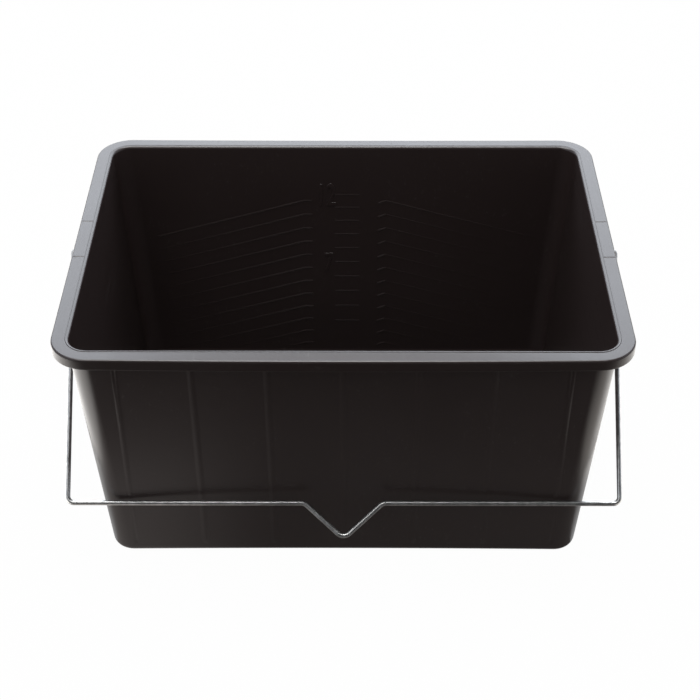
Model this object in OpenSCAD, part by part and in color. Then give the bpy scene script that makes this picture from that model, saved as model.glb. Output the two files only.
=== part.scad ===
// Roller scuttle: a deep drafted paint tub with a turned-down rim, wipe-off ribs
// inside, and a wire bail whose bent ends turn in the tub's pivot lugs.
// Origin: middle of the underside. X runs along the tub's long side, the bail
// hangs on the -Y side, and +Z is up. Millimetres.

/* [Tub] */
// Length over the rim
rim_length = 375; // [340:5:420]
// Width over the rim
rim_width = 278; // [250:2:310]
// Height from the floor to the top of the rim
tub_height = 190; // [180:2:230]
// Wall thickness, measured level
wall = 2; // [1.8:0.1:2.6]
// Thickness of the floor
floor_thickness = 2.4; // [2:0.1:4]
// How far each wall leans in from the rim down to the floor
taper = 13; // [9:0.5:16]
// Outside corner radius of the walls
wall_corner = 15; // [13:1:20]
// Radius of the rounded edge between walls and floor
floor_edge = 5; // [4:0.5:8]
// Depth of the panel recessed into the underside
foot_depth = 1; // [0.5:0.1:1.2]

/* [Rim] */
// Width of the rim from its outer edge to the mouth
rim_land = 11.6; // [10.5:0.1:14]
// Outside corner radius of the rim
rim_corner = 25; // [20:1:32]
// Height of the skirt that turns down from the rim
skirt_height = 8; // [6:0.5:8]
// Thickness of the rim and its skirt
rim_thickness = 2; // [1.8:0.1:2.4]

/* [Pivot lugs] */
// Distance between the two gussets of a lug
gusset_spacing = 45; // [36:1:56]
// How far a lug hangs below the top of the rim
lug_depth = 20; // [17:1:26]
// Depth of the pivot axis below the top of the rim
pivot_drop = 10; // [9:0.5:12]
// Diameter of the boss around the pivot hole
boss_diameter = 9; // [8:0.5:11]
// Clearance between the wire and its hole, on the radius
pivot_clearance = 0.07; // [0.04:0.01:0.1]

/* [Ribs] */
// Spacing of the upright ribs on the outside of the long walls
outer_rib_pitch = 49; // [40:1:52]
// How far the upright ribs stand out
outer_rib_height = 0.8; // [0.4:0.1:1.2]
// Number of wipe-off ribs on each side of the scale
wipe_rib_count = 12; // [6:1:12]
// Upright distance between wipe-off ribs
wipe_rib_pitch = 12; // [10:0.5:12]
// Depth of the first wipe-off rib below the rim, at its inner end
wipe_rib_start = 45.6; // [40:1:50]
// Downward slope of the wipe-off ribs, degrees
wipe_rib_slope = 15.6; // [8:0.2:18]
// Number of litre marks on the scale
mark_count = 10; // [4:1:10]

/* [Bail] */
// Diameter of the wire
wire_diameter = 3.5; // [3:0.1:4.5]
// Distance from the pivot axis to the straight part of the bail
bail_reach = 176.5; // [165:0.5:190]
// Half of the width of the V in its middle
notch_half_width = 27; // [20:0.5:34]
// Slope of the sides of the V, degrees
notch_angle = 42; // [30:1:44]
// Gap between the skirt and the bail's legs
leg_gap = 1.05; // [0.6:0.05:3]
// Gap between the bail at rest and the tub
rest_gap = 0.35; // [0.3:0.05:1]

/* [Hidden] */
$fn = 64;
hull_facets = 48;
slab = 0.01;

// Tub sections. The walls lean by a fixed amount for each millimetre of height.
wall_inset = rim_land - wall;
lean = taper / tub_height;
lean_angle = atan(lean);
half_length = rim_length / 2;
half_width = rim_width / 2;
mouth_corner = wall_corner - wall;
inner_edge = floor_edge - wall / 2;
foot_ring = 9;
function wall_x(z) = half_length - wall_inset - lean * (tub_height - z);
function wall_y(z) = half_width - wall_inset - lean * (tub_height - z);

// Upright ribs outside and wipe-off ribs inside
outer_ribs_each_side = 3;
outer_rib_width = 3;
outer_rib_foot = 9;
wipe_rib_width = 1.6;
wipe_rib_height = 0.7;
wipe_rib_inner_x = 26;
wipe_rib_flat = 6;

// Litre marks, from the fullest down. Their spacing grows as the tub narrows.
mark_length = 19;
mark_width = 1;
mark_height = 0.4;
mark_center_x = 1.5;
first_mark = 40.4;
mark_spacing = 10.9;
mark_spread = 0.21;
mark_depths = [for (i = [0 : mark_count - 1])
    first_mark + mark_spacing * i + mark_spread * i * i];

// Pivot. The pin stops short of the wall, and its bore reaches a little further.
pivot_z = tub_height - pivot_drop;
pin_radius = wire_diameter / 2;
bore_radius = pin_radius + pivot_clearance;
bend_inside = 0.75;
pin_bend = pin_radius + bend_inside;
leg_x = half_length + leg_gap + pin_radius;
pin_to_wall = 1.6;
pin_tip_x = wall_x(pivot_z) + pin_to_wall;
bore_play = 0.6;
bore_end_x = pin_tip_x - bore_play;
gusset_width = 1.8;
lug_corner = 6;

// The resting bail leans on the upright ribs of the front wall
stop_offset = pin_radius + outer_rib_height + rest_gap;
pivot_to_wall = wall_y(pivot_z) * cos(lean_angle);
hang_angle = asin((pivot_to_wall + stop_offset) / bail_reach) - lean_angle;
corner_bend = 4.5;
notch_bend = 6;
notch_depth = notch_half_width * tan(notch_angle);

// The bail is a tube swept through its stations between two round pins
wire_facets = 20;
bend_facet = 15;
tube_radius = pin_radius / cos(180 / wire_facets) + 0.01;
tube_start_x = half_length + 0.1;
pin_overlap = 0.1;
lead_run = leg_x - pin_bend - tube_start_x;
leg_run = bail_reach - pin_bend - corner_bend;
hand_run = leg_x - corner_bend - notch_half_width - notch_bend * tan(notch_angle / 2);
flank_run = notch_half_width / cos(notch_angle)
            - notch_bend * (tan(notch_angle / 2) + tan(notch_angle));
// Each step is [straight run, bend radius, turn]
bail_steps = [
    [lead_run, pin_bend, 90],
    [leg_run, corner_bend, 90],
    [hand_run, notch_bend, -notch_angle],
    [flank_run, notch_bend, 2 * notch_angle],
    [flank_run, notch_bend, -notch_angle],
    [hand_run, corner_bend, 90],
    [leg_run, pin_bend, 90],
    [lead_run, 0, 0]
];

module rounded_plate(length, width, corner, thickness) {
    cube_x = length - 2 * corner;
    cube_y = width - 2 * corner;
    translate([-length / 2, -cube_y / 2, 0])
        cube([length, cube_y, thickness]);
    translate([-cube_x / 2, -width / 2, 0])
        cube([cube_x, width, thickness]);
    for (x = [-1, 1], y = [-1, 1])
        translate([x * cube_x / 2, y * cube_y / 2, 0])
            cylinder(r = corner, h = thickness);
}

// One level slice of a drafted box, given half sizes
module slice(half_x, half_y, corner, z) {
    for (x = [-1, 1], y = [-1, 1])
        translate([x * (half_x - corner), y * (half_y - corner), z])
            cylinder(r = corner, h = slab, $fn = hull_facets);
}

// A drafted box with a rounded lower edge. It follows the walls, moved in by inset,
// and it reaches from z = low to z = high.
module drafted_box(inset, corner, edge, low, high) {
    hull() {
        for (turn = [0 : 22.5 : 90]) {
            rise = edge * (1 - cos(turn));
            pull = edge * (1 - sin(turn));
            slice(wall_x(low + rise) - inset - pull, wall_y(low + rise) - inset - pull,
                  max(corner - pull, 1), low + rise);
        }
        slice(wall_x(high) - inset, wall_y(high) - inset, corner, high - slab);
    }
}

module skirt() {
    difference() {
        rounded_plate(rim_length, rim_width, rim_corner, skirt_height);
        translate([0, 0, -1])
            rounded_plate(rim_length - 2 * rim_thickness, rim_width - 2 * rim_thickness,
                          rim_corner - rim_thickness, skirt_height - rim_thickness + 1);
    }
}

// A lug hangs from the skirt and carries the pivot boss between two gussets
module pivot_lug() {
    half_lug = gusset_spacing / 2 + 1;
    drop = lug_depth - rim_thickness;
    translate([half_length - rim_thickness, 0, tub_height - lug_depth]) {
        translate([0, -half_lug, lug_corner])
            cube([rim_thickness, 2 * half_lug, drop - lug_corner + 1]);
        translate([0, -half_lug + lug_corner, 0])
            cube([rim_thickness, 2 * (half_lug - lug_corner), drop]);
        for (y = [-1, 1])
            translate([0, y * (half_lug - lug_corner), lug_corner])
                rotate([0, 90, 0]) cylinder(r = lug_corner, h = rim_thickness);
    }
    boss_start = wall_x(pivot_z) - wall / 2;
    translate([boss_start, 0, pivot_z])
        rotate([0, 90, 0])
            cylinder(d = boss_diameter, h = half_length - rim_thickness / 2 - boss_start);
    gusset_x = wall_x(pivot_z - boss_diameter) - wall / 2;
    gusset_drop = lug_depth - lug_corner;
    for (y = [-1, 1])
        translate([gusset_x, (y * gusset_spacing - gusset_width) / 2,
                   tub_height - gusset_drop])
            cube([half_length - rim_thickness / 2 - gusset_x, gusset_width,
                  gusset_drop - rim_thickness / 2]);
}

module pivot_bore() {
    translate([bore_end_x, 0, pivot_z])
        rotate([0, 90, 0]) cylinder(r = bore_radius, h = half_length - bore_end_x + 1);
}

// Upright rib on the front wall; its outer face follows the wall's lean
module outer_rib(x) {
    rib_top = tub_height - skirt_height + 2;
    translate([x + outer_rib_width / 2, 0, 0])
        rotate([90, 0, -90])
            linear_extrude(height = outer_rib_width)
                polygon([
                    [-wall_y(outer_rib_foot) + wall / 2, outer_rib_foot],
                    [-wall_y(outer_rib_foot) - outer_rib_height, outer_rib_foot],
                    [-wall_y(rib_top) - outer_rib_height, rib_top],
                    [-wall_y(rib_top) + wall / 2, rib_top]
                ]);
}

// Puts its children on the inner face of the back wall, at x and at a depth below
// the rim. Their X runs along the wall and their Y runs up it.
module on_back_wall(x, depth) {
    z = tub_height - depth;
    translate([x, wall_y(z) - wall, z])
        rotate([90 - lean_angle, 0, 0])
            children();
}

// A wipe-off rib: a short level end by the scale, then a slope outwards and down
module wipe_rib(depth) {
    floor_room = tub_height - floor_thickness - inner_edge - depth;
    wall_room = wall_x(tub_height - depth) - wall_corner - wipe_rib_inner_x;
    slope_x = min(wall_room - wipe_rib_flat, floor_room / tan(wipe_rib_slope));
    slope_y = slope_x * tan(wipe_rib_slope);
    on_back_wall(-wipe_rib_inner_x, depth)
        translate([0, 0, -wall / 2])
            linear_extrude(height = wall / 2 + wipe_rib_height)
                polygon([
                    [0, 0],
                    [-wipe_rib_flat, 0],
                    [-wipe_rib_flat - slope_x, -slope_y],
                    [-wipe_rib_flat - slope_x, -slope_y - wipe_rib_width],
                    [-wipe_rib_flat, -wipe_rib_width],
                    [0, -wipe_rib_width]
                ]);
}

module litre_mark(depth) {
    on_back_wall(mark_center_x, depth)
        translate([-mark_length / 2, -mark_width / 2, -wall / 2])
            cube([mark_length, mark_width, wall / 2 + mark_height]);
}

module tub() color([0.09, 0.09, 0.095]) {
    difference() {
        union() {
            drafted_box(0, wall_corner, floor_edge, 0, tub_height - rim_thickness / 2);
            translate([0, 0, tub_height - skirt_height]) skirt();
            for (side = [0, 180]) rotate([0, 0, side]) {
                pivot_lug();
                for (i = [-outer_ribs_each_side : outer_ribs_each_side])
                    outer_rib(i * outer_rib_pitch);
            }
        }
        drafted_box(wall, mouth_corner, inner_edge, floor_thickness, tub_height + 1);
        for (side = [0, 180]) rotate([0, 0, side]) pivot_bore();
        translate([0, 0, -1])
            rounded_plate(2 * (wall_x(0) - floor_edge - foot_ring),
                          2 * (wall_y(0) - floor_edge - foot_ring),
                          mouth_corner - inner_edge, foot_depth + 1);
    }
    for (i = [0 : wipe_rib_count - 1], side = [0, 1])
        mirror([side, 0, 0]) wipe_rib(wipe_rib_start + i * wipe_rib_pitch);
    for (depth = mark_depths) litre_mark(depth);
}

// Stations along a bend, each [x, y, heading]
function bend_stations(x, y, heading, radius, turn) =
    let (count = ceil(abs(turn) / bend_facet), side = sign(turn) * radius)
    [for (i = [0 : count])
        let (h = heading + turn * i / count)
        [x + side * (sin(h) - sin(heading)), y + side * (cos(heading) - cos(h)), h]];

// Stations of the whole bail in its own plane, found by walking its steps
function stations(i, x, y, heading) =
    let (step = bail_steps[i],
         run_x = x + step[0] * cos(heading),
         run_y = y + step[0] * sin(heading))
    step[2] == 0
        ? [[run_x, run_y, heading]]
        : let (turned = bend_stations(run_x, run_y, heading, step[1], step[2]),
               last = turned[len(turned) - 1])
          concat(turned, stations(i + 1, last[0], last[1], last[2]));

// A tube through a list of stations, closed at both ends
module tube(path, radius) {
    sides = wire_facets;
    rings = len(path);
    points = [for (p = path, k = [0 : sides - 1])
        let (out = radius * cos(360 * (k + 0.5) / sides))
        [p[0] - out * sin(p[2]), p[1] + out * cos(p[2]),
         radius * sin(360 * (k + 0.5) / sides)]];
    walls = [for (i = [0 : rings - 2], k = [0 : sides - 1])
        let (a = i * sides + k, b = i * sides + (k + 1) % sides)
        [a, a + sides, b + sides, b]];
    start_cap = [for (k = [0 : sides - 1]) k];
    end_cap = [for (k = [sides - 1 : -1 : 0]) (rings - 1) * sides + k];
    polyhedron(points = points, faces = concat([start_cap], walls, [end_cap]));
}

// The bail's ends are true pins, and the tube between them is a hair wider
module wire_handle() color([0.62, 0.64, 0.66])
    translate([0, 0, pivot_z])
        rotate([-90 - hang_angle, 0, 0]) {
            tube(concat([[tube_start_x, 0, 0]], stations(0, tube_start_x, 0, 0)),
                 tube_radius);
            for (side = [0, 1])
                mirror([side, 0, 0])
                    translate([pin_tip_x, 0, 0])
                        rotate([0, 90, 0])
                            cylinder(r = pin_radius,
                                     h = tube_start_x + pin_overlap - pin_tip_x);
        }

tub();
wire_handle();
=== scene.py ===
"""A roller scuttle: a deep black moulded paint tub with a turned-down rim, wipe-off
ribs, a litre scale, and a galvanised wire bail. Shapes are in millimetres until they
are finished, and in metres after that.
"""

import math

import bmesh
import bpy
from mathutils import Matrix, Vector


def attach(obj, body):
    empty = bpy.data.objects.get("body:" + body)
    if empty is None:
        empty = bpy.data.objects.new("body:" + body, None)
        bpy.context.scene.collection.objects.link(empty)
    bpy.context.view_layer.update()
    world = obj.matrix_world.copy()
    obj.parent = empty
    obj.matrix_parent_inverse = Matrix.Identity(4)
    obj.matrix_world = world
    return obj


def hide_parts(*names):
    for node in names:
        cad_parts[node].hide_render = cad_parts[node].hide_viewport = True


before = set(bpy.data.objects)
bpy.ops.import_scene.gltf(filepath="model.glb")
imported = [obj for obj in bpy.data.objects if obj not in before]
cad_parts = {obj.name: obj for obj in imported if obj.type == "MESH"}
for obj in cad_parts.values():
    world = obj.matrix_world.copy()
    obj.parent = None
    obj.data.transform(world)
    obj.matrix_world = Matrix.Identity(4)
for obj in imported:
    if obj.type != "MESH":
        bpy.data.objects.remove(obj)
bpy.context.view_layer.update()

MM = 0.001

# Tub
RIM_HALF_X, RIM_HALF_Y = 187.5, 139.0
TUB_HEIGHT = 190.0
RIM_CORNER = 25.0
SKIRT_BOTTOM = 182.0
RIM_SAG = 1.2  # how far the middle of the front rim's outer edge hangs
LEAN = 13.0 / TUB_HEIGHT
OUTER_R, INNER_R = 15.4, 13.4  # the wall's two faces, measured from a corner's centre
CENTRE_X, CENTRE_Y = RIM_HALF_X - RIM_CORNER, RIM_HALF_Y - RIM_CORNER
FLOOR_TOP = 2.4

# Upright ribs outside
OUTER_RIBS_X = [49.0 * i for i in range(-3, 4)]
OUTER_RIB_HEIGHT = 0.42
RIB_HALF, WIDE_RIB_HALF = 2.4, 3.2  # beside a corner, and elsewhere
OUTER_RIB_FOOT = 9.0
STILL_X = 149.4  # the long sides' upright lines are straight as far out as this

# Lugs and gussets under the middle of each short side
LUG_HALF, LUG_CORNER, LUG_DROP = 23.5, 6.0, 12.0
GUSSET_Y = 22.5
PIVOT_Z = 180.0
BOSS_R, HOLE_R = 4.5, 1.9

# Wipe-off ribs and litre scale inside the back wall
WIPE_COUNT, WIPE_PITCH, WIPE_START = 12, 12.0, 45.6
WIPE_INNER_X, WIPE_FLAT, WIPE_OUTER_X = 26.0, 6.0, 152.0
WIPE_SLOPE = math.radians(15.6)
MARK_X, MARK_HALF = 1.5, 9.6
MARK_DEPTHS = [40.4 + 10.9 * i + 0.21 * i * i for i in range(10)]

# Bail
WIRE_R = 1.75
LEG_X = 190.3
PIN_TIP_X = 178.82
PIN_BEND, CORNER_BEND, NOTCH_BEND = 2.5, 4.5, 6.0
BAIL_REACH = 176.5
NOTCH_HALF, NOTCH_ANGLE = 27.0, math.radians(42)
HANG = math.radians(44.16)


# ---------------------------------------------------------------- mesh helpers
def sweep(bm, outline, stations, ring=False):
    """Carries an outline through stations, each a matrix, and leaves faces behind.
    Returns the outline's edges at both ends."""
    verts = [bm.verts.new(stations[0] @ Vector(p)) for p in outline]
    pairs = list(zip(verts, verts[1:])) + ([(verts[-1], verts[0])] if ring else [])
    edges = [bm.edges.new(pair) for pair in pairs]
    first = edges
    for here, there in zip(stations, stations[1:]):
        made = bmesh.ops.extrude_edge_only(bm, edges=edges)["geom"]
        verts = [g for g in made if isinstance(g, bmesh.types.BMVert)]
        new = set(verts)
        edges = [g for g in made if isinstance(g, bmesh.types.BMEdge) and set(g.verts) <= new]
        bmesh.ops.transform(bm, matrix=there @ here.inverted(), verts=verts)
    return first, edges


def finish_piece(bm, name, body, material, sharp=40.0):
    """Turns a finished bmesh, in millimetres, into a piece that rides on a body."""
    bmesh.ops.recalc_face_normals(bm, faces=bm.faces)
    bmesh.ops.scale(bm, vec=(MM, MM, MM), verts=bm.verts)
    for face in bm.faces:
        face.smooth = True
    for edge in bm.edges:
        edge.smooth = not edge.is_manifold or edge.calc_face_angle() < math.radians(sharp)
    mesh = bpy.data.meshes.new(name)
    bm.to_mesh(mesh)
    bm.free()
    piece = bpy.data.objects.new(name, mesh)
    bpy.context.scene.collection.objects.link(piece)
    normals = piece.modifiers.new("weighted_normals", "WEIGHTED_NORMAL")
    normals.keep_sharp = True
    mesh.materials.append(material)
    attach(piece, body)
    return piece


def smooth_step(low, high, value):
    t = min(max((value - low) / (high - low), 0.0), 1.0)
    return t * t * (3 - 2 * t)


# ---------------------------------------------------------------- materials
class Sock:
    """A node socket on which sums can be written."""

    def __init__(self, shader, socket):
        self.shader, self.socket = shader, socket

    def maths(self, operation, a, b):
        return self.shader.node("ShaderNodeMath", {"operation": operation}, {0: a, 1: b})

    def __add__(self, other):
        return self.maths("ADD", self, other)

    __radd__ = __add__

    def __sub__(self, other):
        return self.maths("SUBTRACT", self, other)

    def __rsub__(self, other):
        return self.maths("SUBTRACT", other, self)

    def __mul__(self, other):
        return self.maths("MULTIPLY", self, other)

    __rmul__ = __mul__

    def __pow__(self, other):
        return self.maths("POWER", self, other)


class Shader:
    """A material, or a world, whose nodes are made by one method."""

    def __init__(self, name, kind="Material"):
        kept_in = bpy.data.worlds if kind == "World" else bpy.data.materials
        self.material = kept_in.new(name)
        self.material.use_nodes = True
        self.nodes = self.material.node_tree.nodes
        self.links = self.material.node_tree.links
        self.nodes.clear()
        self.output = self.nodes.new("ShaderNodeOutput" + kind)

    def node(self, kind, settings=None, inputs=None, out=0):
        made = self.nodes.new(kind)
        for key, value in (settings or {}).items():
            if key == "stops":
                ramp = made.color_ramp
                while len(ramp.elements) < len(value):
                    ramp.elements.new(0.5)
                for element, (place, colour) in zip(ramp.elements, value):
                    element.position = place
                    element.color = (*colour, 1) if isinstance(colour, tuple) else (colour,) * 3 + (1,)
            else:
                setattr(made, key, value)
        for key, value in (inputs or {}).items():
            if isinstance(value, Sock):
                self.links.new(value.socket, made.inputs[key])
            else:
                made.inputs[key].default_value = value
        return Sock(self, made.outputs[out])

    def output_of(self, sock, name):
        """Another output of the node that a socket belongs to."""
        return Sock(self, sock.socket.node.outputs[name])

    def coords(self, scale=(1, 1, 1), turn=(0, 0, 0)):
        place = self.node("ShaderNodeTexCoord", out="Object")
        return self.node("ShaderNodeMapping", {}, {"Vector": place, "Scale": scale, "Rotation": turn})

    def noise(self, vector, scale, detail=3.0, rough=0.5, distortion=0.0):
        return self.node(
            "ShaderNodeTexNoise",
            {},
            {"Vector": vector, "Scale": scale, "Detail": detail, "Roughness": rough,
             "Distortion": distortion},
        )

    def ramp(self, value, *stops):
        return self.node("ShaderNodeValToRGB", {"stops": list(stops)}, {"Fac": value})

    def mix(self, factor, a, b):
        return self.node(
            "ShaderNodeMix",
            {"data_type": "RGBA"},
            {"Factor": factor, 6: a, 7: b},
            out=2,
        )

    def bump(self, height, strength, distance, below=None):
        inputs = {"Height": height, "Strength": strength, "Distance": distance}
        if below is not None:
            inputs["Normal"] = below
        return self.node("ShaderNodeBump", {}, inputs)

    def surface(self, **inputs):
        named = {key.replace("_", " ").title() if key != "IOR" else key: value
                 for key, value in inputs.items()}
        self.finish(self.node("ShaderNodeBsdfPrincipled", {}, named))
        return self.material

    def finish(self, shader):
        self.links.new(shader.socket, self.output.inputs["Surface"])


def black_polypropylene():
    """Semi-gloss black moulding: faint flow marks, fine grain, light scuffs."""
    s = Shader("black_polypropylene")
    place = s.coords()
    cloud = s.noise(place, 14.0, 3.0)
    grain = s.noise(place, 1500.0, 2.0)
    flow = s.noise(s.coords(scale=(1, 1, 0.12)), 60.0, 4.0, 0.6)
    streaks = s.noise(s.coords(scale=(1, 0.02, 0.6), turn=(0.2, 0.1, 0.7)), 420.0, 3.0, 0.7)
    scuff = s.ramp(streaks, (0.60, 0.0), (0.70, 1.0))
    patches = s.ramp(s.noise(place, 22.0, 2.0), (0.42, 0.0), (0.62, 1.0))
    wear = scuff * patches
    colour = s.mix(cloud, (0.0155, 0.0103, 0.0098, 1), (0.0190, 0.0130, 0.0124, 1))
    colour = s.mix(wear * 0.5, colour, (0.042, 0.036, 0.034, 1))
    rough = 0.27 + 0.07 * cloud + 0.03 * grain + 0.12 * wear
    normal = s.bump(flow, 0.12, 0.0004)
    normal = s.bump(grain, 0.10, 0.00006, normal)
    return s.surface(base_color=colour, roughness=rough, normal=normal, IOR=1.49)


def galvanised_wire():
    """Drawn steel wire with a dull zinc coat."""
    s = Shader("galvanised_wire")
    place = s.coords()
    spangle = s.noise(place, 260.0, 3.0, 0.6)
    bloom = s.noise(place, 60.0, 2.0)
    drawn = s.noise(place, 1400.0, 2.0)
    colour = s.mix(s.ramp(spangle, (0.35, 0.0), (0.65, 1.0)), (0.46, 0.46, 0.455, 1), (0.66, 0.66, 0.65, 1))
    colour = s.mix(s.ramp(bloom, (0.55, 0.0), (0.75, 0.5)), colour, (0.24, 0.24, 0.235, 1))
    rough = 0.26 + 0.16 * spangle + 0.06 * drawn
    normal = s.bump(spangle, 0.12, 0.00012)
    normal = s.bump(drawn, 0.15, 0.00004, normal)
    return s.surface(base_color=colour, metallic=1.0, roughness=rough, normal=normal)


PLASTIC = black_polypropylene()
ZINC = galvanised_wire()


# ---------------------------------------------------------------- tub shell
def bow(x, z):
    """How far the front wall is drawn in, most in its middle."""
    corner = CENTRE_X - LEAN * (TUB_HEIGHT - z)
    if abs(x) >= corner:
        return 0.0
    if z < 55:
        depth = 0.8 + 3.9 * smooth_step(0, 55, z)
    else:
        depth = 4.7 * math.cos(math.pi / 2 * min((z - 55) / (TUB_HEIGHT - 55), 1))
    return depth * (1 - (x / corner) ** 2)


def back_bow(x, z):
    return 0.3 * bow(x, z)


def lean_in(value, centre, z, still=0.0):
    """Draws a plan coordinate in, as the walls do on their way down. Nearer the middle
    than still it stays where it is."""
    shift = LEAN * (TUB_HEIGHT - z)
    size = abs(value)
    if size > still:
        size -= shift * min((size - still) / (centre - still), 1)
    return math.copysign(size, value)


def upright_rib(x, z):
    """Height of the upright ribs at a place on a long wall."""
    if z < OUTER_RIB_FOOT - 1.5 or z > SKIRT_BOTTOM + 3:
        return 0.0
    offset = min(abs(x - rib) for rib in OUTER_RIBS_X)
    if abs(x) < 140:
        offset *= RIB_HALF / WIDE_RIB_HALF
    if offset >= RIB_HALF:
        return 0.0
    end = smooth_step(OUTER_RIB_FOOT - 1.5, OUTER_RIB_FOOT + 2.5, z)
    return OUTER_RIB_HEIGHT * end * math.cos(math.pi / 2 * offset / RIB_HALF) ** 2


def lug_drop(y):
    """How far the skirt's lower edge hangs down at the lug."""
    y = abs(y)
    if y > LUG_HALF + 0.02:
        return 0.0
    side = max(y - (LUG_HALF - LUG_CORNER), 0) / LUG_CORNER
    return LUG_DROP - LUG_CORNER + LUG_CORNER * math.sqrt(max(1 - side * side, 0))


def quarter(centre_r, centre_z, radius, start, end, count):
    """Points on an arc of the profile, from one angle to another in degrees."""
    angles = [math.radians(start + (end - start) * i / count) for i in range(count + 1)]
    return [(centre_r + radius * math.cos(a), centre_z + radius * math.sin(a)) for a in angles]


def tub_profile():
    """The wall's upright section, from the middle of the floor over the rim to the
    underside, as distance from a corner's centre and height."""
    inside = [(INNER_R - 4, FLOOR_TOP)]
    inside += quarter(INNER_R - 4, FLOOR_TOP + 4, 4, -72, 0, 4)
    inside += [(INNER_R, z) for z in (12, 22, 34, 46, 58, 72, 88, 104, 120, 136, 152, 168, 180)]
    lip = quarter(INNER_R + 2, TUB_HEIGHT - 2, 2, 180, 90, 6)
    line = [(INNER_R + 2.1, TUB_HEIGHT), (INNER_R + 2.45, TUB_HEIGHT - 0.3),
            (INNER_R + 2.95, TUB_HEIGHT - 0.1), (INNER_R + 3.1, TUB_HEIGHT - 0.1)]
    land = [(19.5, TUB_HEIGHT - 0.1)]
    brow = quarter(RIM_CORNER - 1.4, TUB_HEIGHT - 1.5, 1.4, 90, 0, 5)
    skirt = [(RIM_CORNER, 183.6)]
    skirt += quarter(RIM_CORNER - 0.6, SKIRT_BOTTOM + 0.6, 0.6, 0, -90, 3)
    skirt += quarter(RIM_CORNER - 1.4, SKIRT_BOTTOM + 0.6, 0.6, -90, -180, 3)
    skirt += [(RIM_CORNER - 2, 183.6), (RIM_CORNER - 2, 187.0)]
    under = quarter(RIM_CORNER - 3, 187.0, 1.0, 0, 90, 2)[1:]
    under += [(OUTER_R + 1, 188.0), (OUTER_R, 187.0)]
    outside = [(OUTER_R, z) for z in (185, 182, 178, 172, 160, 148, 136, 124, 112, 100, 88, 76,
                                      66, 56, 46, 36, 26, 18, 13, 11.5, 10, 9, 8, 7.2)]
    edge = quarter(OUTER_R - 5, 5, 5, 0, -90, 6)
    foot = [(2.0, 0.0), (1.4, 0.35), (1.2, 1.0)]
    return inside + lip + line + land + brow + skirt + under + outside + edge + foot


def runs(marks, limit):
    """Sorted stations from -limit to limit, with plain ones where the marks leave gaps."""
    fixed = sorted({-limit, limit, *marks})
    places = []
    for low, high in zip(fixed, fixed[1:]):
        count = max(1, math.ceil((high - low) / 14))
        places += [low + (high - low) * i / count for i in range(count)]
    return places + [limit]


def tub_shell():
    bm = bmesh.new()
    profile = tub_profile()
    long_marks = [rib + off for rib in OUTER_RIBS_X
                  for off in (-3.2, -2.4, -1.9, -1.4, -0.9, -0.3, 0.3, 0.9, 1.4, 1.9, 2.4, 3.2)
                  if abs(rib + off) < 149.5]
    lug_marks = [LUG_HALF - LUG_CORNER + LUG_CORNER * math.sin(math.radians(a))
                 for a in (0, 20, 40, 60, 75, 90)] + [LUG_HALF + 0.06]
    short_marks = [side * (GUSSET_Y + off) for side in (-1, 1) for off in (-0.5, 0, 0.5)]
    short_marks += [side * mark for side in (-1, 1) for mark in lug_marks]
    sides = [runs(short_marks, CENTRE_Y), runs(long_marks, CENTRE_X)] * 2
    centres = [(CENTRE_X, CENTRE_Y), (-CENTRE_X, CENTRE_Y), (-CENTRE_X, -CENTRE_Y),
               (CENTRE_X, -CENTRE_Y)]
    steps = 12
    stations = []
    for side, (places, (cx, cy)) in enumerate(zip(sides, centres)):
        turn = Matrix.Rotation(math.pi / 2 * side, 4, "Z")
        along = cy if side % 2 == 0 else cx
        for place in places:
            local = (cx, place * math.copysign(1, cy), 0) if side % 2 == 0 else None
            spot = Vector((cx, place if side == 0 else -place, 0)) if side % 2 == 0 else \
                Vector((-place if side == 1 else place, cy, 0))
            stations.append(Matrix.Translation(spot) @ turn)
        for i in range(1, steps):
            bend = Matrix.Rotation(math.pi / 2 * (side + i / steps), 4, "Z")
            stations.append(Matrix.Translation((cx, cy, 0)) @ bend)
    stations.append(stations[0] @ Matrix.Identity(4))
    sweep(bm, [(r, 0, z) for r, z in profile], stations)
    bmesh.ops.remove_doubles(bm, verts=bm.verts, dist=0.005)
    shape_tub(bm)
    bmesh.ops.holes_fill(bm, edges=[e for e in bm.edges if e.is_boundary], sides=0)
    return finish_piece(bm, "tub_shell", "tub", PLASTIC)


def shape_tub(bm):
    """Moves the swept wall's points: lean, bow, ribs, lugs and sink lines."""
    for v in bm.verts:
        x, y, z = v.co
        out_x, out_y = abs(x) - CENTRE_X, abs(y) - CENTRE_Y
        reach = math.hypot(max(out_x, 0), max(out_y, 0))
        on_long = out_y > 0 and out_x <= 0.001
        on_short = out_x > 0 and out_y <= 0.001
        new_z = z
        if on_short and reach > RIM_CORNER - 2.1 and z < 183.3:
            new_z = z - lug_drop(y)
        if on_short and z > TUB_HEIGHT - 0.15 and 15.8 < reach < 24:
            new_z = z - 0.3 * max(0, 1 - abs(abs(y) - GUSSET_Y) / 0.45)
        if on_long and reach > 15.9 and z > 181:
            across = min((reach - 15.9) / (RIM_CORNER - 15.9), 1)
            sag = RIM_SAG if y < 0 else 0.4 * RIM_SAG
            new_z -= sag * across * (1 - (x / CENTRE_X) ** 2)
        new_x = lean_in(x, CENTRE_X, z, STILL_X)
        new_y = lean_in(y, CENTRE_Y, z)
        if reach > OUTER_R + 0.2:
            new_x, new_y = x, y
        elif on_long and reach > 5:
            pull = bow(new_x, z) if y < 0 else back_bow(new_x, z)
            if abs(reach - OUTER_R) < 0.05:
                pull -= upright_rib(x, z)
            new_y -= math.copysign(pull, y)
        v.co = (new_x, new_y, new_z)


# ---------------------------------------------------------------- on the back wall
def on_back_wall(bm):
    """Puts flat work on the back wall's inner face. Its X runs along the wall, its Y
    is the depth below the rim turned up, and its Z stands out of the wall."""
    for v in bm.verts:
        x, up, out = v.co
        z = TUB_HEIGHT + up
        face = CENTRE_Y + INNER_R - LEAN * (TUB_HEIGHT - z) - back_bow(x, z)
        v.co = (x, face - out, z)


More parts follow.
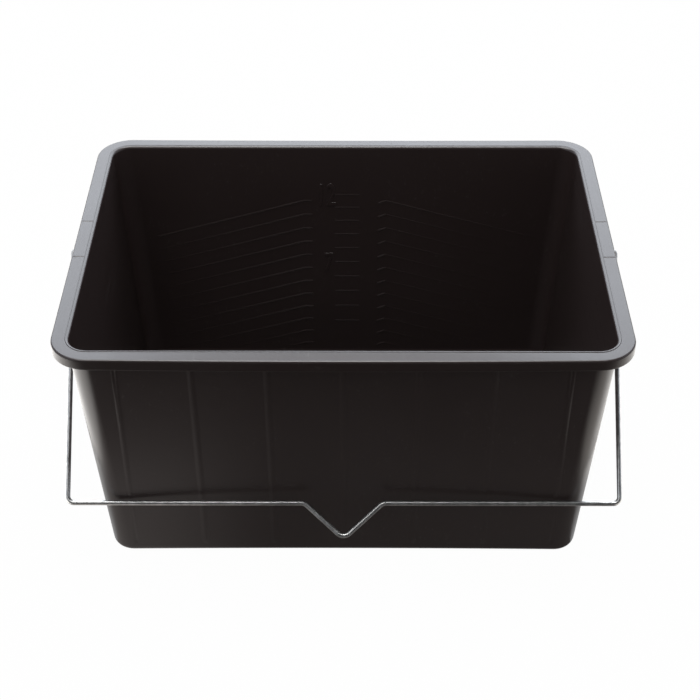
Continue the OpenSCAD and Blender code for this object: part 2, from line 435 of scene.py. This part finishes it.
RIDGE = [(-1.2, -0.15), (-0.85, -0.02), (-0.55, 0.13), (-0.27, 0.26), (0, 0.31),
         (0.27, 0.26), (0.55, 0.13), (0.85, -0.02), (1.2, -0.15)]


def ridge(bm, path, width=1.0, height=1.0, fade=1.0):
    """A soft raised line along a path on the wall, sinking into it at both ends. It is
    full height at the path's second point and fade times that at its last."""
    points = [Vector((x, y, 0)) for x, y in path]
    if fade < 1:
        steps = 8
        tail = [points[-2].lerp(points[-1], (i + 1) / steps) for i in range(steps)]
        points[-1:] = tail
    rises = [1.0] * len(points)
    if fade < 1:
        rises[-steps:] = [1 - (1 - fade) * (i + 1) / steps for i in range(steps)]
    heads = [(b - a).normalized() for a, b in zip(points, points[1:])]
    turns = [heads[0]] + [(a + b).normalized() for a, b in zip(heads, heads[1:])] + [heads[-1]]

    def station(point, head, rise):
        turn = Matrix.Rotation(math.atan2(head.y, head.x), 4, "Z")
        size = Matrix.Diagonal((1, 1, rise, 1))
        sink = Matrix.Translation((0, 0, -0.25 * (1 - rise)))
        return Matrix.Translation(point) @ turn @ sink @ size

    first, last = points[0], points[-1]
    stations = [station(first - heads[0] * 0.8, heads[0], 0.05),
                station(first - heads[0] * 0.3, heads[0], 0.7),
                station(first + heads[0] * 0.5, heads[0], 1.0)]
    stations += [station(p, h, r) for p, h, r in zip(points[1:-1], turns[1:-1], rises[1:-1])]
    stations += [station(last - heads[-1] * 0.5, heads[-1], rises[-1]),
                 station(last + heads[-1] * 0.3, heads[-1], 0.7 * rises[-1]),
                 station(last + heads[-1] * 0.8, heads[-1], 0.05)]
    ends = sweep(bm, [(0, t * width, h * height) for t, h in RIDGE], stations)
    for edges in ends:
        corners = [edges[0].verts[0], edges[-1].verts[1]]
        bmesh.ops.contextual_create(bm, geom=list(edges))


def wipe_ribs():
    bm = bmesh.new()
    for i in range(WIPE_COUNT):
        depth = WIPE_START + WIPE_PITCH * i
        end_x = WIPE_OUTER_X - LEAN * depth
        floor_x = WIPE_INNER_X + WIPE_FLAT + (TUB_HEIGHT - FLOOR_TOP - 5 - depth) / math.tan(WIPE_SLOPE)
        end_x = min(end_x, floor_x)
        fall = (end_x - WIPE_INNER_X - WIPE_FLAT) * math.tan(WIPE_SLOPE)
        ridge(bm, [(-WIPE_INNER_X, -depth), (-WIPE_INNER_X - WIPE_FLAT, -depth),
                   (-end_x, -depth - fall)], 0.9, 0.95, 0.9 if i == 0 else 0.6)
        ridge(bm, [(WIPE_INNER_X, -depth - 2.4), (WIPE_INNER_X + WIPE_FLAT, -depth)], 1.1, 1.2)
        ridge(bm, [(WIPE_INNER_X + WIPE_FLAT - 1, -depth), (WIPE_INNER_X + WIPE_FLAT + 4,
                   -depth - 4 * math.tan(WIPE_SLOPE)), (end_x, -depth - fall)],
              0.8, 0.8 if i == 0 else 0.45, 0.7)
    subdivide_long(bm)
    on_back_wall(bm)
    return finish_piece(bm, "wipe_ribs", "tub", PLASTIC)


def subdivide_long(bm, longest=14.0):
    """Cuts the long edges, so that flat work can follow the wall's bow."""
    long_edges = [e for e in bm.edges if e.calc_length() > longest]
    if long_edges:
        bmesh.ops.subdivide_edges(bm, edges=long_edges, cuts=8, use_grid_fill=True)


def litre_marks():
    bm = bmesh.new()
    for depth in MARK_DEPTHS:
        ridge(bm, [(MARK_X - MARK_HALF, -depth), (MARK_X + MARK_HALF, -depth)], 0.75, 0.7)
    on_back_wall(bm)
    return finish_piece(bm, "litre_marks", "tub", PLASTIC)


def numeral(text, left, right, top, bottom):
    """A raised plain number that fills a box on the back wall."""
    curve = bpy.data.curves.new("numeral_" + text, "FONT")
    curve.body = text
    curve.size = 20
    curve.extrude = 0.12
    curve.bevel_depth = 0.2
    curve.bevel_resolution = 2
    curve.resolution_u = 8
    shown = bpy.data.objects.new("numeral_" + text, curve)
    bpy.context.scene.collection.objects.link(shown)
    mesh = bpy.data.meshes.new_from_object(shown.evaluated_get(bpy.context.evaluated_depsgraph_get()))
    bpy.data.objects.remove(shown)
    bm = bmesh.new()
    bm.from_mesh(mesh)
    bmesh.ops.remove_doubles(bm, verts=bm.verts, dist=0.001)
    lo = Vector(min(v.co[i] for v in bm.verts) for i in range(3))
    hi = Vector(max(v.co[i] for v in bm.verts) for i in range(3))
    fit = ((right - left) / (hi.x - lo.x), (bottom - top) / (hi.y - lo.y), 1)
    bmesh.ops.translate(bm, vec=-lo, verts=bm.verts)
    bmesh.ops.scale(bm, vec=fit, verts=bm.verts)
    bmesh.ops.translate(bm, vec=(left, -bottom, -0.28), verts=bm.verts)
    on_back_wall(bm)
    return finish_piece(bm, "numeral_" + text, "tub", PLASTIC)


# ---------------------------------------------------------------- pivots
def lathe(bm, outline, centre, turn):
    """A round part: an outline of (along, radius) points turned about its own axis,
    which is then laid by a matrix."""
    verts = [bm.verts.new((along, 0, radius)) for along, radius in outline]
    edges = [bm.edges.new(pair) for pair in zip(verts, verts[1:])]
    before = set(bm.verts)
    made = bmesh.ops.spin(bm, geom=verts + edges, cent=(0, 0, 0), axis=(1, 0, 0),
                          angle=2 * math.pi, steps=32, use_merge=True)
    everything = [v for v in bm.verts if v in verts or v not in before]
    bmesh.ops.remove_doubles(bm, verts=everything, dist=0.001)
    everything = [v for v in everything if v.is_valid]
    bmesh.ops.transform(bm, matrix=Matrix.Translation(centre) @ turn, verts=everything)


def pivot_bosses():
    bm = bmesh.new()
    wall_face = CENTRE_X + OUTER_R - LEAN * (TUB_HEIGHT - PIVOT_Z)
    inner_end, outer_end = wall_face - 0.8, 186.4
    boss = [(inner_end, BOSS_R + 1.4), (wall_face + 0.3, BOSS_R + 0.5), (wall_face + 1.2, BOSS_R),
            (outer_end - 1.2, BOSS_R), (outer_end, BOSS_R + 0.9)]
    collar = [(187.0, HOLE_R), (187.72, HOLE_R), (187.8, HOLE_R + 0.12), (187.8, BOSS_R - 0.4),
              (187.7, BOSS_R - 0.1), (187.4, BOSS_R + 0.1), (187.2, BOSS_R + 0.2)]
    for side in (0, math.pi):
        turn = Matrix.Rotation(side, 4, "Z")
        lathe(bm, boss, (0, 0, PIVOT_Z), turn)
        lathe(bm, collar, (0, 0, PIVOT_Z), turn)
    return finish_piece(bm, "pivot_bosses", "tub", PLASTIC)


def gussets():
    bm = bmesh.new()
    wall_face = CENTRE_X + OUTER_R - LEAN * 14
    for side in (-1, 1):
        for y in (-GUSSET_Y, GUSSET_Y):
            made = bmesh.ops.create_cube(bm, size=1)["verts"]
            bmesh.ops.scale(bm, vec=(186.3 - wall_face + 1, 1.8, 13), verts=made)
            bmesh.ops.translate(bm, vec=(side * (186.3 + wall_face - 1) / 2, y, 182.3), verts=made)
            low = [v for v in made if v.co.z < 180 and abs(v.co.x) < 180]
            bmesh.ops.translate(bm, vec=(0, 0, 3), verts=low)
            edges = list({e for v in made for e in v.link_edges})
            bmesh.ops.bevel(bm, geom=edges, offset=0.3, segments=2, profile=0.5,
                            affect="EDGES", material=-1)
    return finish_piece(bm, "lug_gussets", "tub", PLASTIC)


# ---------------------------------------------------------------- bail
def bail_stations():
    """Walks the bail in its own plane, from one pin tip to the other."""
    notch_tan = math.tan(NOTCH_ANGLE / 2)
    lead = LEG_X - PIN_BEND - PIN_TIP_X
    leg = BAIL_REACH - PIN_BEND - CORNER_BEND
    hand = LEG_X - CORNER_BEND - NOTCH_HALF - NOTCH_BEND * notch_tan
    flank = NOTCH_HALF / math.cos(NOTCH_ANGLE) - NOTCH_BEND * (notch_tan + math.tan(NOTCH_ANGLE))
    right = math.pi / 2
    walk = [(lead, PIN_BEND, right), (leg, CORNER_BEND, right), (hand, NOTCH_BEND, -NOTCH_ANGLE),
            (flank, NOTCH_BEND, 2 * NOTCH_ANGLE), (flank, NOTCH_BEND, -NOTCH_ANGLE),
            (hand, CORNER_BEND, right), (leg, PIN_BEND, right), (lead, 0, 0)]
    place = Matrix.Translation((PIN_TIP_X, 0, 0))
    stations = [place @ Matrix.Diagonal((1, 0.72, 0.72, 1)), place @ Matrix.Translation((0.5, 0, 0))]
    for run, radius, turn in walk:
        parts = max(1, math.ceil(run / 18))
        for i in range(1, parts + 1):
            stations.append(place @ Matrix.Translation((run * i / parts, 0, 0)))
        place = place @ Matrix.Translation((run, 0, 0))
        if turn:
            count = math.ceil(abs(turn) / math.radians(7.5))
            step = Matrix.Rotation(turn / count, 4, "Z")
            hub = Matrix.Translation((0, math.copysign(radius, turn), 0))
            for i in range(count):
                place = place @ hub @ step @ hub.inverted()
                stations.append(place.copy())
    last = stations.pop()
    stations += [last @ Matrix.Translation((-0.5, 0, 0)), last @ Matrix.Diagonal((1, 0.72, 0.72, 1))]
    return stations


def wire_bail():
    bm = bmesh.new()
    sides = 24
    ring = [(0, WIRE_R * math.cos(2 * math.pi * k / sides), WIRE_R * math.sin(2 * math.pi * k / sides))
            for k in range(sides)]
    for edges in sweep(bm, ring, bail_stations(), ring=True):
        bmesh.ops.contextual_create(bm, geom=list(edges))
    lay = Matrix.Translation((0, 0, PIVOT_Z)) @ Matrix.Rotation(-math.pi / 2 - HANG, 4, "X")
    bmesh.ops.transform(bm, matrix=lay, verts=bm.verts)
    piece = finish_piece(bm, "wire_bail", "handle", ZINC)
    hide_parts("wire_handle")
    return piece


shell = tub_shell()
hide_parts("tub")
wipe_ribs()
litre_marks()
numeral("12", -19.6, -7.2, 31, 50)
numeral("7", -16.4, -9.6, 92, 109)
pivot_bosses()
gussets()
wire_bail()


# ---------------------------------------------------------------- room and lights
def emitter(name, strength, colour=(1, 1, 1, 1)):
    s = Shader(name)
    s.finish(s.node("ShaderNodeEmission", {}, {"Color": colour, "Strength": strength}))
    return s.material


def floor_finish():
    """A white floor that keeps a soft shadow."""
    s = Shader("white_floor")
    camera = s.node("ShaderNodeLightPath")
    glossy = s.output_of(camera, "Is Glossy Ray")
    lit = s.node("ShaderNodeBsdfDiffuse", {}, {"Color": (0.32, 0.32, 0.32, 1)})
    white = s.node("ShaderNodeEmission", {}, {"Color": (1, 1, 1, 1), "Strength": 1.0})
    factor = s.node("ShaderNodeMath", {"operation": "MAXIMUM"}, {0: camera * 0.985, 1: glossy * 0.9})
    s.finish(s.node("ShaderNodeMixShader", {}, {0: factor, 1: lit, 2: white}))
    return s.material


def stage_sheet(name, size, place, turn, material):
    bm = bmesh.new()
    bmesh.ops.create_grid(bm, x_segments=1, y_segments=1, size=0.5)
    lay = Matrix.Translation(place) @ turn @ Matrix.Diagonal((size[0], size[1], 1, 1))
    bmesh.ops.transform(bm, matrix=lay, verts=bm.verts)
    mesh = bpy.data.meshes.new(name)
    bm.to_mesh(mesh)
    bm.free()
    mesh.materials.append(material)
    sheet = bpy.data.objects.new(name, mesh)
    bpy.context.scene.collection.objects.link(sheet)
    return sheet


def softbox(name, place, target, size, power, colour=(1, 1, 1)):
    light = bpy.data.lights.new(name, "AREA")
    light.color = colour
    light.shape = "RECTANGLE"
    light.size, light.size_y = size
    light.energy = power
    lamp = bpy.data.objects.new(name, light)
    bpy.context.scene.collection.objects.link(lamp)
    lamp.location = place
    lamp.rotation_euler = (Vector(target) - Vector(place)).to_track_quat("-Z", "Y").to_euler()
    lamp.visible_camera = False
    return lamp


stage_sheet("floor", (12, 12), (0, 0, -0.0002), Matrix.Identity(4), floor_finish())


def painted_reflection_glow():
    """A dark sheet, seen only in reflections, that glows as a painted reflection of lit
    floor: brighter near the tub and more on the left."""
    s = Shader("painted_glow_sheet")
    place = s.node("ShaderNodeTexCoord", out="Object")
    split = s.node("ShaderNodeSeparateXYZ", {}, {0: place})
    x, y = split, s.output_of(split, "Y")

    def rise(value, low, high):
        return s.node("ShaderNodeMapRange", {"interpolation_type": "SMOOTHSTEP"},
                      {"Value": value, "From Min": low, "From Max": high})

    # painted reflection: the glow rises towards the tub and to the left, so the front wall reads lighter low down
    # and on the left
    near = rise(y, -0.32, -0.12)
    left = rise(x, -0.04, -0.16) * rise(y, -0.25, -0.17)
    s.finish(s.node("ShaderNodeEmission", {}, {"Color": (1.0, 0.94, 0.9, 1), "Strength": 0.2 * near + 0.42 * left}))
    return s.material


def only_glossy(sheet):
    """Keeps a sheet out of sight except in reflections."""
    sheet.visible_camera = False
    sheet.visible_diffuse = False
    sheet.visible_shadow = False
    sheet.visible_transmission = False


# glossy-only glowing sheet in front of the tub: its glow is a painted reflection on the front wall
only_glossy(stage_sheet("painted_glow_sheet_floor", (3.0, 1.5), (0, -0.86, 0.003), Matrix.Identity(4),
                        painted_reflection_glow()))
only_glossy(stage_sheet("dark_ceiling", (5.0, 3.2), (0.6, -1.3, 2.3), Matrix.Identity(4),
                        emitter("ceiling_black", 0.05)))
only_glossy(stage_sheet("dark_front", (5.0, 2.2), (0.6, -2.4, 1.2),
                        Matrix.Rotation(math.pi / 2, 4, "X"), emitter("front_black", 0.03)))

softbox("back_softbox", (0, 1.5, 1.16), (0, 0, 0.15), (2.8, 1.2), 52, (0.87, 0.93, 1.0))
softbox("left_softbox", (-0.75, -1.05, 1.5), (0, 0, 0.1), (0.55, 0.55), 2.5)
softbox("left_panel", (-0.45, 0.17, 0.004), (-0.45, 0.17, 1.0), (0.42, 0.9), 3.0, (1.0, 0.97, 0.93))
softbox("right_panel", (0.47, 0.2, 0.004), (0.47, 0.2, 1.0), (0.5, 0.9), 1.7, (1.0, 0.95, 0.88))
softbox("top_softbox", (-0.1, 0.1, 1.9), (0, 0, 0), (1.2, 1.0), 42)



def white_room():
    """A world that is white to the camera, bluish in reflections and softer as light."""
    s = Shader("white_room", "World")
    camera = s.node("ShaderNodeLightPath")
    glossy = s.output_of(camera, "Is Glossy Ray")
    colour = s.mix(glossy, (0.68, 0.68, 0.68, 1), (0.75, 0.80, 0.89, 1))
    colour = s.mix(camera, colour, (1, 1, 1, 1))
    s.finish(s.node("ShaderNodeBackground", {}, {"Color": colour, "Strength": 1.0}))
    return s.material


bpy.context.scene.world = white_room()

# ---------------------------------------------------------------- camera
camera_data = bpy.data.cameras.new("camera")
camera_data.lens = 79.49
camera_data.sensor_width = 36
camera_data.clip_start, camera_data.clip_end = 0.05, 40
camera = bpy.data.objects.new("camera", camera_data)
bpy.context.scene.collection.objects.link(camera)
camera.location = (0.00631, -0.90507, 0.78469)
pitch, yaw = math.radians(37.42), -0.0024
gaze = Vector((math.sin(yaw) * math.cos(pitch), math.cos(yaw) * math.cos(pitch), -math.sin(pitch)))
camera.rotation_euler = gaze.to_track_quat("-Z", "Y").to_euler()
bpy.context.scene.camera = camera
bpy.context.scene.view_settings.view_transform = "Standard"
